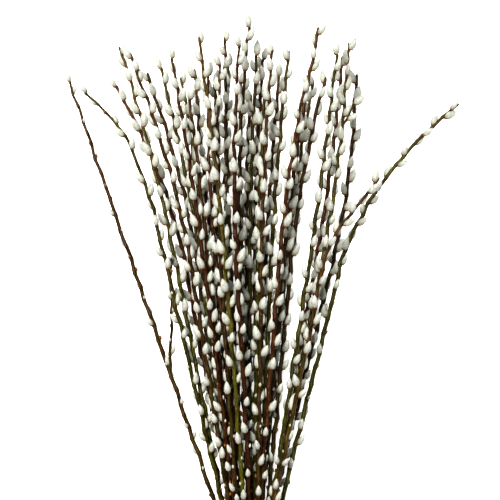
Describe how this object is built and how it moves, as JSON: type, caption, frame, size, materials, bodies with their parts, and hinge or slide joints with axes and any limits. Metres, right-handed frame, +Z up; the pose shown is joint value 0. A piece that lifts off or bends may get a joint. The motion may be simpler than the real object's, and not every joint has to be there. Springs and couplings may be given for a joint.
{
  "type": "bunch of pussy willow branches",
  "caption": "Bunch of cut pussy willow branches with downy catkins, bound by a twine tie near the cut ends and lying on its side with the tips fanned out.",
  "frame": {"origin": "on the table under the middle of the tie, in the tie's flat underside", "axes": "+Y along the bunch from the tie towards the tips, +Z up from the table, +X across the bunch"},
  "size_m": [0.4744, 0.7537, 0.1581],
  "materials": {
    "bark_red_brown": "satin",
    "bark_brown": "satin",
    "bark_olive": "satin",
    "catkin_down": "matte",
    "tie_twine": "matte"
  },
  "bodies": {
    "root": {"branch_01": "bark_brown", "branch_02": "bark_olive", "branch_03": "bark_red_brown", "branch_04": "bark_olive", "branch_05": "bark_brown", "branch_06": "bark_brown", "branch_07": "bark_olive", "branch_08": "bark_red_brown", "branch_09": "bark_olive", "branch_10": "bark_brown", "branch_11": "bark_brown", "branch_12": "bark_olive", "branch_13": "bark_red_brown", "branch_14": "bark_olive", "branch_15": "bark_brown", "branch_16": "bark_brown", "branch_17": "bark_olive", "branch_18": "bark_red_brown", "branch_19": "bark_olive", "branch_20": "bark_brown", "branch_21": "bark_brown", "branch_22": "bark_olive", "branch_23": "bark_red_brown", "branch_24": "bark_olive", "branch_25": "bark_brown", "branch_26": "bark_brown", "branch_27": "bark_olive", "branch_28": "bark_red_brown", "branch_29": "bark_olive", "branch_30": "bark_brown", "branch_31": "bark_brown", "branch_32": "bark_olive", "branch_33": "bark_red_brown", "branch_34": "bark_olive", "branch_35": "bark_brown", "branch_36": "bark_brown", "branch_37": "bark_olive", "tie": "tie_twine"}
  },
  "joints": []
}
